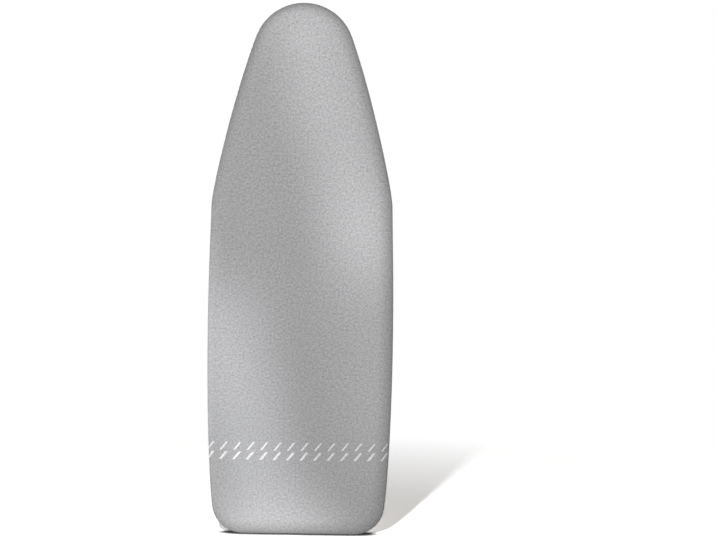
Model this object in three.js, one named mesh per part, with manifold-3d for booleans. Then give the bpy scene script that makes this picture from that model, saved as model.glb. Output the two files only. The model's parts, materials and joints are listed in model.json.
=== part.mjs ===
// An ironing board cover in the shape it takes on its board, standing on the tail end with the nose up.
// Millimetres. +Z runs along the board to the nose, -Y is the ironing side, +Y the underside.
// The origin is half way along the board, on the inner face of the padding, where the board's top bears.
import * as THREE from "three";
import { mergeVertices } from "three/addons/utils/BufferGeometryUtils.js";
import Module from "manifold-3d";

const wasm = await Module();
wasm.setup();
const { degToRad } = THREE.MathUtils;

// The board that the cover fits
const BOARD_LENGTH = 1300;
const BOARD_WIDTH = 450;
const BOARD_DEPTH = 24;
const NOSE_RADIUS = 122;
const NOSE_TAPER_ANGLE = 20.5;
const TAPER_LENGTH = 490;
const TAPER_REACH = 146;
const SHOULDER_NARROWING = 6.3;
const SHOULDER_ANGLE = 1.5;
const SHOULDER_REACH = 40;
const WIDEST_HEIGHT = 460;
const SIDE_REACH = 150;
const TAIL_NARROWING = 14.5;
const TAIL_ANGLE = 7;
const TAIL_REACH = 66;
const TAIL_CORNER_RADIUS = 74;

// Layers of the cover
const EASE = 1;
const CLOTH = 0.8;
const FOAM = 6;
const FELT = 4;
const LAY_GAP = 0.3;
const ROLL_WIDTH = 38;
const ROLL_DEPTH = 15.6;
const TURN_RADIUS = 7;
const HEM_WIDTH = 45;

// Binding and elastic along the hem's cut edge
const TAPE = 0.6;
const BINDING_OVERLAP = 9;
const ELASTIC_WIDTH = 7.8;
const ELASTIC_THICKNESS = 1.2;

// Straps across the underside
const STRAP_FROM_TAIL = 200;
const STRAP_ABOVE_WIDEST = 20;
const STRAP_BELOW_SHOULDER = 50;
const STRAP_WIDTH = 20;
const STRAP_THICKNESS = 1.4;
const STRAP_SPLAY = 8;
const SEWN_LAP = 28;
const RETURN_LENGTH = 140;

// Slider that sets a strap's length
const SLIDER_LENGTH = 18;
const SLIDER_RAIL = 3;
const SLIDER_BAR = 4;
const SLIDER_THICKNESS = 2;
const SLIDER_CORNER = 2;
const SLIDER_FROM_CLIP = 70;

// Lever clip, measured from the hem's inner edge
const PLATE = 1;
const CLIP_WIDTH = 24;
const CLIP_CORNER = 3;
const CLIP_TAIL_CORNER = 1.5;
const JAW_DEPTH = 11;
const HEM_CLEARANCE = 1.2;
const JOGGLE_LENGTH = 7;
const STRAP_WINDOW = 4;
const STRAP_BAR = 3;
const CLIP_TAIL = 24;
const GRIP_THICKNESS = 1.2;
const GRIP_RIBS = 4;
const GRIP_RIB_HEIGHT = 0.4;
const PIVOT_REACH = 4;
const PIVOT_EYE_RADIUS = 3;
const CHEEK_SLOPE = 1.5;
const CAM_REACH = 3.4;
const CAM_TOE = 2.2;
const HUB_RADIUS = 2.4;
const LEVER_LENGTH = 27;
const LEVER_LIP = 2;
const LEVER_LIP_LENGTH = 5;
const LEVER_CORNER = 7;
const TOOTH_NOTCHES = 5;
const TOOTH_NOTCH_WIDTH = 1.6;
const TOOTH_NOTCH_DEPTH = 0.9;
const PIN_RADIUS = 1;
const PIN_HEAD_RADIUS = 1.8;
const PIN_HEAD = 0.8;
const PIN_CLEARANCE = 0.25;

// Levels along Y, from the ironing face to the underside
const foamBack = -FELT - LAY_GAP;
const foamFront = foamBack - FOAM;
const faceOuter = foamFront - LAY_GAP - CLOTH;
const plateLow = BOARD_DEPTH + LAY_GAP;
const plateHigh = plateLow + PLATE;
const gripLow = plateHigh + LAY_GAP / 2;
const gripHigh = gripLow + GRIP_THICKNESS;
const bindingLow = gripHigh + LAY_GAP;
const bindingHalf = ELASTIC_THICKNESS / 2 + LAY_GAP + TAPE;
const hemLevel = bindingLow + bindingHalf;
const bindingHigh = hemLevel + bindingHalf;
const hemOuter = hemLevel + CLOTH / 2;
const pivotLevel = bindingHigh + LAY_GAP + CAM_REACH;
const clipTop = pivotLevel + HUB_RADIUS + LEVER_LIP;

// Insets from the board's edge
const skirtInset = -EASE - CLOTH;
const hemEdge = skirtInset + HEM_WIDTH;
const bindingMouth = hemEdge - BINDING_OVERLAP;
const bindingEnd = hemEdge + LAY_GAP + ELASTIC_WIDTH + LAY_GAP + TAPE;

// Heights of the straps above the tail end
const strapHeights = {
  tail: STRAP_FROM_TAIL,
  middle: WIDEST_HEIGHT + STRAP_ABOVE_WIDEST,
  nose: BOARD_LENGTH - TAPER_LENGTH - STRAP_BELOW_SHOULDER,
};

// How finely curves are drawn
const NOSE_STEPS = 9;
const TAPER_STEPS = 9;
const SIDE_STEPS = 4;
const CORNER_STEPS = 6;
const ROLL_STEPS = 6;
const FOAM_STEPS = 4;
const FELT_STEPS = 2;
const SKIRT_STEPS = 2;
const TURN_STEPS = 4;
const ROUND_STEPS = 12;
const ARC_STEPS = 4;

// Outline of the board

// A point further down the side, along a line that leans out by an angle; a negative reach goes back up.
function downTheSide(from, lean, reach) {
  return new THREE.Vector2(from.x + reach * Math.sin(lean), from.y - reach * Math.cos(lean));
}

function onCircle(centre, radius, angle) {
  return new THREE.Vector2(centre.x + radius * Math.cos(angle), centre.y + radius * Math.sin(angle));
}

function clockwiseArc(centre, radius, from, to) {
  return new THREE.EllipseCurve(centre.x, centre.y, radius, radius, from, to, true);
}

// Points of the right half from the nose tip to the tail, each with its outward direction.
function halfOutline() {
  const taper = degToRad(NOSE_TAPER_ANGLE);
  const shoulderLean = degToRad(SHOULDER_ANGLE);
  const tailLean = degToRad(TAIL_ANGLE);
  const top = BOARD_LENGTH / 2;
  const side = BOARD_WIDTH / 2;
  const nose = new THREE.Vector2(0, top - NOSE_RADIUS);
  const shoulder = new THREE.Vector2(side - SHOULDER_NARROWING, top - TAPER_LENGTH);
  const widest = new THREE.Vector2(side, WIDEST_HEIGHT - top);
  const cornerReach = TAIL_CORNER_RADIUS * Math.cos(tailLean);
  const corner = new THREE.Vector2(side - TAIL_NARROWING - cornerReach, TAIL_CORNER_RADIUS - top);
  const noseEnd = onCircle(nose, NOSE_RADIUS, taper);
  const sideEnd = onCircle(corner, TAIL_CORNER_RADIUS, -tailLean);
  const taperSide = new THREE.CubicBezierCurve(
    noseEnd,
    downTheSide(noseEnd, taper, TAPER_REACH),
    downTheSide(shoulder, shoulderLean, -SHOULDER_REACH),
    shoulder,
  );
  const upperSide = new THREE.CubicBezierCurve(
    shoulder,
    downTheSide(shoulder, shoulderLean, SIDE_REACH),
    downTheSide(widest, 0, -SIDE_REACH),
    widest,
  );
  const lowerSide = new THREE.CubicBezierCurve(
    widest,
    downTheSide(widest, 0, SIDE_REACH),
    downTheSide(sideEnd, -tailLean, -TAIL_REACH),
    sideEnd,
  );
  const stretches = [
    [clockwiseArc(nose, NOSE_RADIUS, Math.PI / 2, taper), NOSE_STEPS],
    [taperSide, TAPER_STEPS],
    [upperSide, SIDE_STEPS],
    [lowerSide, SIDE_STEPS],
    [clockwiseArc(corner, TAIL_CORNER_RADIUS, -tailLean, -Math.PI / 2), CORNER_STEPS],
  ];
  const points = [];
  const add = (curve, t) => {
    const along = curve.getTangent(t);
    points.push({ at: curve.getPoint(t), out: new THREE.Vector2(-along.y, along.x) });
  };
  for (const [curve, steps] of stretches) {
    for (let i = 0; i < steps; i++) add(curve, i / steps);
  }
  add(stretches.at(-1)[0], 1);
  return points;
}

const half = halfOutline();

// The whole outline moved in by an inset, at one level: the tip, the right side down, then the left side up.
function ring([inset, level]) {
  const right = half.map(({ at, out }) => at.clone().addScaledVector(out, -inset));
  const left = right.slice(1).reverse().map((p) => new THREE.Vector2(-p.x, p.y));
  right[0].x = 0;
  return [...right, ...left].map((p) => new THREE.Vector3(p.x, level, p.y));
}

// Half the width between the two sides of an inset outline, at a height above the tail end.
function halfWidth(inset, height) {
  const side = ring([inset, 0]).slice(0, half.length);
  const z = height - BOARD_LENGTH / 2;
  const below = side.findIndex((p, i) => i >= NOSE_STEPS && p.z <= z);
  const [a, b] = [side[below - 1], side[below]];
  return THREE.MathUtils.mapLinear(z, a.z, b.z, a.x, b.x);
}

// A solid whose section, given as [inset, level] pairs, is carried round the outline.
// An open section starts and ends on flat faces; a closed one makes a loop.
function carried(section, { closed = false } = {}) {
  const rings = section.map(ring);
  const count = rings[0].length;
  const index = [];
  const quad = (a, b, c, d) => index.push(a, b, c, a, c, d);
  const last = closed ? rings.length : rings.length - 1;
  for (let i = 0; i < last; i++) {
    const here = i * count;
    const next = ((i + 1) % rings.length) * count;
    for (let j = 0; j < count; j++) {
      const k = (j + 1) % count;
      quad(here + j, here + k, next + k, next + j);
    }
  }
  if (!closed) {
    const end = (rings.length - 1) * count;
    index.push(0, count - 1, 1);
    index.push(end, end + 1, end + count - 1);
    for (let j = 1; j < half.length - 1; j++) {
      quad(j, count - j, count - j - 1, j + 1);
      quad(end + j, end + j + 1, end + count - j - 1, end + count - j);
    }
  }
  const geometry = new THREE.BufferGeometry().setFromPoints(rings.flat());
  geometry.setIndex(index);
  geometry.computeVertexNormals();
  return geometry;
}

// The lengths that the skirt and the binding are drawn in, so that collision stays open inside the cover.
// Each runs between two places on a ring, counted from the nose tip down the right side and up the left.
function lengths() {
  const count = 2 * half.length - 1;
  const taper = NOSE_STEPS;
  const shoulder = taper + TAPER_STEPS;
  const widest = shoulder + SIDE_STEPS;
  const corner = widest + SIDE_STEPS;
  const tail = corner + CORNER_STEPS;
  return {
    nose: [count - taper, count + taper],
    taper_right: [taper, shoulder],
    upper_right: [shoulder, widest],
    lower_right: [widest, corner],
    corner_right: [corner, tail],
    tail: [tail, count - tail],
    corner_left: [count - tail, count - corner],
    lower_left: [count - corner, count - widest],
    upper_left: [count - widest, count - shoulder],
    taper_left: [count - shoulder, count - taper],
  };
}

// One length of a sheet, given by the sections of its two faces, drawn back by half a gap at each end.
function oneLength(outer, inner, [from, to]) {
  const rings = [...outer, ...inner.toReversed()].map(ring);
  const last = to - from;
  const drawBack = (point, towards) => point.lerp(towards, LAY_GAP / 2 / point.distanceTo(towards));
  const runs = rings.map((points) => {
    const run = Array.from({ length: last + 1 }, (_, i) => points[(from + i) % points.length].clone());
    drawBack(run[0], run[1]);
    drawBack(run[last], run[last - 1]);
    return run;
  });
  const across = last + 1;
  const index = [];
  const quad = (a, b, c, d) => index.push(a, b, c, a, c, d);
  for (let i = 0; i < runs.length; i++) {
    const here = i * across;
    const next = ((i + 1) % runs.length) * across;
    for (let j = 0; j < last; j++) quad(here + j, here + j + 1, next + j + 1, next + j);
  }
  for (let i = 0; i < runs.length / 2 - 1; i++) {
    const corners = [i, i + 1, runs.length - 2 - i, runs.length - 1 - i].map((place) => place * across);
    quad(...corners);
    quad(...corners.reverse().map((corner) => corner + last));
  }
  const geometry = new THREE.BufferGeometry().setFromPoints(runs.flat());
  geometry.setIndex(index);
  geometry.computeVertexNormals();
  return geometry;
}

// Soft layers

// The rolled edge, as a quarter ellipse some depth below the cover's outer face.
const rollCentre = { inset: skirtInset + ROLL_WIDTH, level: faceOuter + ROLL_DEPTH };

function rollPoint(depth, angle) {
  return [
    rollCentre.inset - (ROLL_WIDTH - depth) * Math.sin(angle),
    rollCentre.level - (ROLL_DEPTH - depth) * Math.cos(angle),
  ];
}

// The angle at which the rolled edge reaches a level.
function rollAngle(depth, level) {
  return Math.acos((rollCentre.level - level) / (ROLL_DEPTH - depth));
}

function rollSection(depth, from, to, steps) {
  return Array.from({ length: steps + 1 }, (_, i) => rollPoint(depth, from + ((to - from) * i) / steps));
}

// One face of the sheet below the board's top: the end of the roll, the skirt, the turn and the hem.
function skirtSection(depth) {
  const radius = TURN_RADIUS - depth;
  const turn = Array.from({ length: TURN_STEPS + 1 }, (_, i) => {
    const angle = ((Math.PI / 2) * i) / TURN_STEPS;
    return [
      skirtInset + TURN_RADIUS - radius * Math.cos(angle),
      hemOuter - TURN_RADIUS + radius * Math.sin(angle),
    ];
  });
  const roll = rollSection(depth, rollAngle(depth, 0), Math.PI / 2, SKIRT_STEPS);
  return [...roll, ...turn, [hemEdge, hemOuter - depth]];
}

// The face and the skirt are one sheet; they are drawn apart at the level of the board's top.
function faceCloth() {
  const side = (depth) => rollSection(depth, 0, rollAngle(depth, -LAY_GAP), ROLL_STEPS);
  return carried([...side(0), ...side(CLOTH).reverse()]);
}

function skirtCloth(span) {
  return oneLength(skirtSection(0), skirtSection(CLOTH), span);
}

function foamPad() {
  const depth = CLOTH + LAY_GAP;
  return carried(rollSection(depth, 0, rollAngle(depth, foamBack), FOAM_STEPS));
}

function feltUnderlay() {
  const depth = CLOTH + LAY_GAP;
  return carried(rollSection(depth, rollAngle(depth, -FELT), rollAngle(depth, 0), FELT_STEPS));
}

function hemBinding(span) {
  const folded = (depth) => [
    [bindingMouth, bindingHigh - depth],
    [bindingEnd - depth, bindingHigh - depth],
    [bindingEnd - depth, bindingLow + depth],
    [bindingMouth, bindingLow + depth],
  ];
  return oneLength(folded(0), folded(TAPE), span);
}

function hemElastic() {
  const near = hemEdge + LAY_GAP;
  const far = near + ELASTIC_WIDTH;
  const high = hemLevel + ELASTIC_THICKNESS / 2;
  const low = hemLevel - ELASTIC_THICKNESS / 2;
  return carried([[near, high], [far, high], [far, low], [near, low]], { closed: true });
}

// Helpers for the hardware

function solidOf(geometry) {
  const bare = geometry.clone();
  bare.deleteAttribute("normal");
  bare.deleteAttribute("uv");
  const welded = mergeVertices(bare);
  return new wasm.Manifold(new wasm.Mesh({
    numProp: 3,
    vertProperties: new Float32Array(welded.attributes.position.array),
    triVerts: new Uint32Array(welded.index.array),
  }));
}

function geometryOf(solid) {
  const mesh = solid.getMesh();
  const geometry = new THREE.BufferGeometry();
  geometry.setAttribute("position", new THREE.BufferAttribute(mesh.vertProperties, mesh.numProp));
  geometry.setIndex(new THREE.BufferAttribute(mesh.triVerts, 1));
  geometry.computeVertexNormals();
  return geometry;
}

// A profile in X and Y, given its thickness along Z with its middle at z = 0.
function acrossZ(shape, width) {
  const options = { depth: width, bevelEnabled: false, curveSegments: ARC_STEPS };
  return new THREE.ExtrudeGeometry(shape, options).translate(0, 0, -width / 2);
}

// A plan in X and Z, given its thickness along Y between two levels.
function betweenLevels(shape, low, high) {
  const options = { depth: high - low, bevelEnabled: false, curveSegments: ARC_STEPS };
  return new THREE.ExtrudeGeometry(shape, options).rotateX(Math.PI / 2).translate(0, high, 0);
}

function circle(x, y, radius) {
  return new THREE.Path().setFromPoints(
    Array.from({ length: ROUND_STEPS }, (_, i) => {
      const angle = (2 * Math.PI * i) / ROUND_STEPS;
      return new THREE.Vector2(x + radius * Math.cos(angle), y + radius * Math.sin(angle));
    }),
  );
}

// A rectangle with its own corner radius at each end.
function roundedPlan(left, right, width, leftCorner, rightCorner) {
  const side = width / 2;
  const shape = new THREE.Shape();
  shape.moveTo(left + leftCorner, -side);
  shape.lineTo(right - rightCorner, -side);
  shape.absarc(right - rightCorner, -side + rightCorner, rightCorner, -Math.PI / 2, 0);
  shape.absarc(right - rightCorner, side - rightCorner, rightCorner, 0, Math.PI / 2);
  shape.lineTo(left + leftCorner, side);
  shape.absarc(left + leftCorner, side - leftCorner, leftCorner, Math.PI / 2, Math.PI);
  shape.absarc(left + leftCorner, -side + leftCorner, leftCorner, Math.PI, 1.5 * Math.PI);
  return shape;
}

// Straps and sliders

// Distance from the board's middle to the bar that a strap is looped round.
function barCentre(height) {
  return halfWidth(bindingEnd, height) - CLIP_TAIL + STRAP_BAR / 2;
}

// A strap seen along Z: a loop round each clip's bar, a sewn lap at the left, and at the right the
// band's own return, which lies on it as far as the slider needs.
function strap(height) {
  const reach = barCentre(height);
  const eyeHalf = PLATE / 2 + LAY_GAP;
  const eyeEnd = STRAP_BAR / 2 + LAY_GAP - eyeHalf / 2;
  const loopHalf = eyeHalf + STRAP_THICKNESS;
  const high = hemLevel + STRAP_THICKNESS;
  const low = hemLevel - STRAP_THICKNESS;
  const flat = reach - eyeEnd - STRAP_SPLAY;
  const shape = new THREE.Shape();
  shape.moveTo(-flat, low);
  shape.lineTo(flat, low);
  shape.lineTo(reach - eyeEnd, hemLevel - loopHalf);
  shape.absarc(reach + eyeEnd, hemLevel, loopHalf, -Math.PI / 2, Math.PI / 2);
  shape.lineTo(reach - eyeEnd, hemLevel + loopHalf);
  shape.lineTo(flat, high);
  shape.lineTo(reach - RETURN_LENGTH, high);
  shape.lineTo(reach - RETURN_LENGTH, hemLevel);
  shape.lineTo(SEWN_LAP - reach, hemLevel);
  shape.lineTo(SEWN_LAP - reach, high);
  shape.lineTo(-flat, high);
  shape.lineTo(eyeEnd - reach, hemLevel + loopHalf);
  shape.absarc(-reach - eyeEnd, hemLevel, loopHalf, Math.PI / 2, 1.5 * Math.PI);
  shape.lineTo(eyeEnd - reach, hemLevel - loopHalf);
  for (const middle of [-reach, reach]) {
    const eye = new THREE.Path();
    eye.moveTo(middle - eyeEnd, hemLevel - eyeHalf);
    eye.lineTo(middle + eyeEnd, hemLevel - eyeHalf);
    eye.absarc(middle + eyeEnd, hemLevel, eyeHalf, -Math.PI / 2, Math.PI / 2);
    eye.lineTo(middle - eyeEnd, hemLevel + eyeHalf);
    eye.absarc(middle - eyeEnd, hemLevel, eyeHalf, Math.PI / 2, 1.5 * Math.PI);
    shape.holes.push(eye);
  }
  return acrossZ(shape, STRAP_WIDTH);
}

// Two end bars over the strap in a rounded frame, and a bridge that carries the middle bar under it.
function slider() {
  const opening = STRAP_WIDTH / 2 + LAY_GAP;
  const outside = opening + SLIDER_RAIL;
  const frameLow = hemLevel + STRAP_THICKNESS + LAY_GAP;
  const frameHigh = frameLow + SLIDER_THICKNESS;
  const barHigh = hemLevel - STRAP_THICKNESS - LAY_GAP;
  const barLow = barHigh - SLIDER_THICKNESS;
  const frame = roundedPlan(-SLIDER_LENGTH / 2, SLIDER_LENGTH / 2, 2 * outside, SLIDER_CORNER, SLIDER_CORNER);
  const window = SLIDER_LENGTH / 2 - SLIDER_RAIL;
  frame.holes.push(new THREE.Path([
    new THREE.Vector2(-window, -opening),
    new THREE.Vector2(-window, opening),
    new THREE.Vector2(window, opening),
    new THREE.Vector2(window, -opening),
  ]));
  const bridge = new THREE.Shape([
    new THREE.Vector2(-outside, barLow),
    new THREE.Vector2(outside, barLow),
    new THREE.Vector2(outside, frameHigh),
    new THREE.Vector2(opening, frameHigh),
    new THREE.Vector2(opening, barHigh),
    new THREE.Vector2(-opening, barHigh),
    new THREE.Vector2(-opening, frameHigh),
    new THREE.Vector2(-outside, frameHigh),
  ]);
  const bar = acrossZ(bridge, SLIDER_BAR).rotateY(Math.PI / 2);
  return geometryOf(solidOf(betweenLevels(frame, frameLow, frameHigh)).add(solidOf(bar)));
}

// Lever clip: X runs from the strap towards the hem, with x = 0 at the hem's inner edge

// A plate that steps up from under the hem to the strap's level, with a window for the strap and two cheeks
// that lean out over the hem to hold the pin.
function clipBase() {
  const barLow = hemLevel - PLATE / 2;
  const barHigh = hemLevel + PLATE / 2;
  const stepEnd = -HEM_CLEARANCE - JOGGLE_LENGTH;
  const strip = new THREE.Shape([
    new THREE.Vector2(-CLIP_TAIL, barLow),
    new THREE.Vector2(stepEnd, barLow),
    new THREE.Vector2(-HEM_CLEARANCE, plateLow),
    new THREE.Vector2(JAW_DEPTH, plateLow),
    new THREE.Vector2(JAW_DEPTH, plateHigh),
    new THREE.Vector2(-HEM_CLEARANCE, plateHigh),
    new THREE.Vector2(stepEnd, barHigh),
    new THREE.Vector2(-CLIP_TAIL, barHigh),
  ]);
  const plan = roundedPlan(-CLIP_TAIL, JAW_DEPTH, CLIP_WIDTH, CLIP_TAIL_CORNER, CLIP_CORNER);
  const windowMiddle = -CLIP_TAIL + STRAP_BAR + STRAP_WINDOW / 2;
  const window = new THREE.BoxGeometry(STRAP_WINDOW, clipTop, STRAP_WIDTH + 2 * LAY_GAP);
  window.translate(windowMiddle, hemLevel, 0);
  let base = solidOf(acrossZ(strip, CLIP_WIDTH));
  base = base.intersect(solidOf(betweenLevels(plan, 0, clipTop + LAY_GAP)));
  base = base.subtract(solidOf(window));
  const cheek = new THREE.Shape();
  cheek.moveTo(stepEnd, barLow);
  cheek.lineTo(-HEM_CLEARANCE, plateLow);
  cheek.lineTo(-HEM_CLEARANCE, pivotLevel - PIVOT_EYE_RADIUS);
  cheek.lineTo(PIVOT_REACH, pivotLevel - PIVOT_EYE_RADIUS);
  cheek.absarc(PIVOT_REACH, pivotLevel, PIVOT_EYE_RADIUS, -Math.PI / 2, Math.PI / 2);
  cheek.lineTo(stepEnd + PIVOT_EYE_RADIUS, pivotLevel + CHEEK_SLOPE);
  cheek.lineTo(stepEnd, barHigh);
  cheek.holes.push(circle(PIVOT_REACH, pivotLevel, PIN_RADIUS + PIN_CLEARANCE));
  for (const side of [-1, 1]) {
    base = base.add(solidOf(acrossZ(cheek, PLATE).translate(0, 0, (side * (CLIP_WIDTH - PLATE)) / 2)));
  }
  return geometryOf(base);
}

// A thin handle over a round hub, with a toothed cam that bears on the hem straight below the pin.
function clipLever() {
  const width = CLIP_WIDTH - 2 * PLATE - 2 * LAY_GAP;
  const handleHigh = pivotLevel + HUB_RADIUS;
  const handleLow = handleHigh - PLATE;
  const end = PIVOT_REACH - LEVER_LENGTH;
  const camLow = pivotLevel - CAM_REACH;
  const side = new THREE.Shape();
  side.moveTo(end, handleLow + LEVER_LIP);
  side.quadraticCurveTo(end + LEVER_LIP_LENGTH / 2, handleLow, end + LEVER_LIP_LENGTH, handleLow);
  side.lineTo(PIVOT_REACH - 2 * HUB_RADIUS, handleLow);
  side.lineTo(PIVOT_REACH - HUB_RADIUS, pivotLevel);
  side.lineTo(PIVOT_REACH - CAM_TOE / 2, camLow);
  side.lineTo(PIVOT_REACH + CAM_TOE / 2, camLow);
  side.lineTo(PIVOT_REACH + HUB_RADIUS, pivotLevel);
  side.absarc(PIVOT_REACH, pivotLevel, HUB_RADIUS, 0, Math.PI / 2);
  side.lineTo(end + LEVER_LIP_LENGTH, handleHigh);
  side.quadraticCurveTo(end + LEVER_LIP_LENGTH / 2, handleHigh, end, handleHigh + LEVER_LIP);
  side.holes.push(circle(PIVOT_REACH, pivotLevel, PIN_RADIUS + PIN_CLEARANCE));
  const plan = roundedPlan(end, PIVOT_REACH + 2 * HUB_RADIUS, width, LEVER_CORNER, PLATE);
  let lever = solidOf(acrossZ(side, width));
  lever = lever.intersect(solidOf(betweenLevels(plan, 0, clipTop + LAY_GAP)));
  const pitch = width / (TOOTH_NOTCHES + 1);
  for (let i = 1; i <= TOOTH_NOTCHES; i++) {
    const notch = new THREE.BoxGeometry(2 * CAM_TOE, 2 * TOOTH_NOTCH_DEPTH, TOOTH_NOTCH_WIDTH);
    notch.translate(PIVOT_REACH, camLow, i * pitch - width / 2);
    lever = lever.subtract(solidOf(notch));
  }
  return geometryOf(lever);
}

// A rivet: a shank through both cheeks and the lever, with a head outside each cheek.
function clipPin() {
  const shank = CLIP_WIDTH / 2 + LAY_GAP;
  const end = shank + PIN_HEAD;
  const profile = [
    new THREE.Vector2(0, -end),
    new THREE.Vector2(PIN_HEAD_RADIUS, -end),
    new THREE.Vector2(PIN_HEAD_RADIUS, -shank),
    new THREE.Vector2(PIN_RADIUS, -shank),
    new THREE.Vector2(PIN_RADIUS, shank),
    new THREE.Vector2(PIN_HEAD_RADIUS, shank),
    new THREE.Vector2(PIN_HEAD_RADIUS, end),
    new THREE.Vector2(0, end),
  ];
  const geometry = new THREE.LatheGeometry(profile, ROUND_STEPS);
  return geometry.rotateX(Math.PI / 2).translate(PIVOT_REACH, pivotLevel, 0);
}

// A pad under the hem, with ribs across the way the hem would slip out.
function clipGrip() {
  const start = LAY_GAP;
  const end = JAW_DEPTH - LAY_GAP;
  const pitch = (end - start) / GRIP_RIBS;
  const shape = new THREE.Shape();
  shape.moveTo(start, gripLow);
  shape.lineTo(end, gripLow);
  for (let i = GRIP_RIBS; i > 0; i--) {
    shape.lineTo(start + i * pitch, gripHigh - GRIP_RIB_HEIGHT);
    shape.lineTo(start + (i - 1) * pitch, gripHigh);
  }
  const width = CLIP_WIDTH - 2 * CLIP_CORNER;
  return acrossZ(shape, width);
}

// Materials
function finish(color, roughness, metalness) {
  return new THREE.MeshStandardMaterial({ color, roughness, metalness });
}

const metallisedCotton = finish(0xa9a9ab, 0.5, 0.35);
const foam = finish(0xe9e4d2, 0.95, 0);
const needledFelt = finish(0xc9c6bf, 1, 0);
const cottonTape = finish(0x8e8f92, 0.9, 0);
const rubberElastic = finish(0xeeece6, 0.8, 0);
const webbing = finish(0xe4e2dc, 0.85, 0);
const whiteNylon = finish(0xf0efec, 0.4, 0);
const nickelPlate = finish(0xc9c7c0, 0.25, 1);
const softVinyl = finish(0x55575a, 0.6, 0);

// Assembly
const cover = new THREE.Group();

function add(name, geometry, material, parent = cover) {
  const mesh = new THREE.Mesh(geometry, material.clone());
  mesh.name = name;
  parent.add(mesh);
  return mesh;
}

add("face_cloth", faceCloth(), metallisedCotton);
add("foam_pad", foamPad(), foam);
add("felt_underlay", feltUnderlay(), needledFelt);
add("hem_elastic", hemElastic(), rubberElastic);

for (const [place, span] of Object.entries(lengths())) {
  add(`skirt_${place}`, skirtCloth(span), metallisedCotton);
  add(`binding_${place}`, hemBinding(span), cottonTape);
}

for (const [place, height] of Object.entries(strapHeights)) {
  const z = height - BOARD_LENGTH / 2;
  add(`strap_${place}`, strap(height), webbing).position.z = z;
  add(`slider_${place}`, slider(), whiteNylon).position.set(barCentre(height) - SLIDER_FROM_CLIP, 0, z);
  for (const [side, way] of [["left", -1], ["right", 1]]) {
    const clip = new THREE.Group();
    clip.position.set(way * halfWidth(bindingEnd, height), 0, z);
    clip.rotation.y = way < 0 ? Math.PI : 0;
    cover.add(clip);
    add(`clip_base_${place}_${side}`, clipBase(), nickelPlate, clip);
    add(`clip_grip_${place}_${side}`, clipGrip(), softVinyl, clip);
    add(`clip_pin_${place}_${side}`, clipPin(), nickelPlate, clip);
    add(`clip_lever_${place}_${side}`, clipLever(), nickelPlate, clip);
  }
}

export default cover;
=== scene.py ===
import json
import math

import bpy
import numpy as np
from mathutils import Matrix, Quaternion, Vector

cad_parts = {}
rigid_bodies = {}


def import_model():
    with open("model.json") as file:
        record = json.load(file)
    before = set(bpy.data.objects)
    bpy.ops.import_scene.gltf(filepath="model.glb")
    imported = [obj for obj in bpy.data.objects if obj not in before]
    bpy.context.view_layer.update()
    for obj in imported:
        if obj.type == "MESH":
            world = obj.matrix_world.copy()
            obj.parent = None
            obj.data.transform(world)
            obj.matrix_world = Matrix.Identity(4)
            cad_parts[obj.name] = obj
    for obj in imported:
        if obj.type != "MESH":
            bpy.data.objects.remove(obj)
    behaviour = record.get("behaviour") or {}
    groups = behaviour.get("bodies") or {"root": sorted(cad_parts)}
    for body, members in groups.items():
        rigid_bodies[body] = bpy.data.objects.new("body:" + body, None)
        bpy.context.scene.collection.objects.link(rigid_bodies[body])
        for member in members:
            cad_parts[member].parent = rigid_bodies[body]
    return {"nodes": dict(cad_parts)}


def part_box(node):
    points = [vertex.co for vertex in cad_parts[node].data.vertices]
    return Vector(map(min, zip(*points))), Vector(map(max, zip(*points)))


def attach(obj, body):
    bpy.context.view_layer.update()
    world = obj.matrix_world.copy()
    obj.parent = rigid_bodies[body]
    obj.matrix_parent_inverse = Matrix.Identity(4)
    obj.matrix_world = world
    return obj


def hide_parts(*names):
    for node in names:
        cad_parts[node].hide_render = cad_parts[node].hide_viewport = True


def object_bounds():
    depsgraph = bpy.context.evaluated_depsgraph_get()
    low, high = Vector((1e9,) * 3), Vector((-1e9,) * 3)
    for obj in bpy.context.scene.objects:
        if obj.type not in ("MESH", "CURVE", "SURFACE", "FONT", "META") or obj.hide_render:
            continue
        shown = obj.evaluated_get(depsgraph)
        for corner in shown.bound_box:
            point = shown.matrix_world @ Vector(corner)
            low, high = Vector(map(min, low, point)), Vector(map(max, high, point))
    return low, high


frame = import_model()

# An ironing board cover in the shape it takes on its board, standing on its tail end with the nose up.
# Metres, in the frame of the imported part: +Z to the nose, -Y the ironing face, +Y the underside.
cad_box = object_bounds()
nodes = frame["nodes"]
MM = 0.001

# The board that the cover fits, with the sizes that the part's own drawing gives it
BOARD_LENGTH = 1300 * MM
BOARD_WIDTH = 450 * MM
BOARD_DEPTH = 24 * MM
NOSE_RADIUS = 122 * MM
NOSE_TAPER_ANGLE = math.radians(20.5)
TAPER_LENGTH = 490 * MM
TAPER_REACH = 146 * MM
SHOULDER_NARROWING = 6.3 * MM
SHOULDER_ANGLE = math.radians(1.5)
SHOULDER_REACH = 40 * MM
WIDEST_HEIGHT = 460 * MM
SIDE_REACH = 150 * MM
TAIL_NARROWING = 14.5 * MM
TAIL_ANGLE = math.radians(7)
TAIL_REACH = 66 * MM
TAIL_CORNER_RADIUS = 74 * MM

# The cover's layers
EASE = 1 * MM
CLOTH = 0.8 * MM
LAY_GAP = 0.3 * MM
ROLL_WIDTH = 38 * MM
ROLL_DEPTH = 15.6 * MM
TURN_RADIUS = 7 * MM
HEM_WIDTH = 45 * MM
CROWN = 5 * MM

# Unevenness of the stretched face: its height, and each wave's radians a metre across and along, and start
RIPPLE = 0.35 * MM
RIPPLE_WAVES = ((19, 6, 0), (-13, 11, 1), (5, 27, 2))

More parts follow.
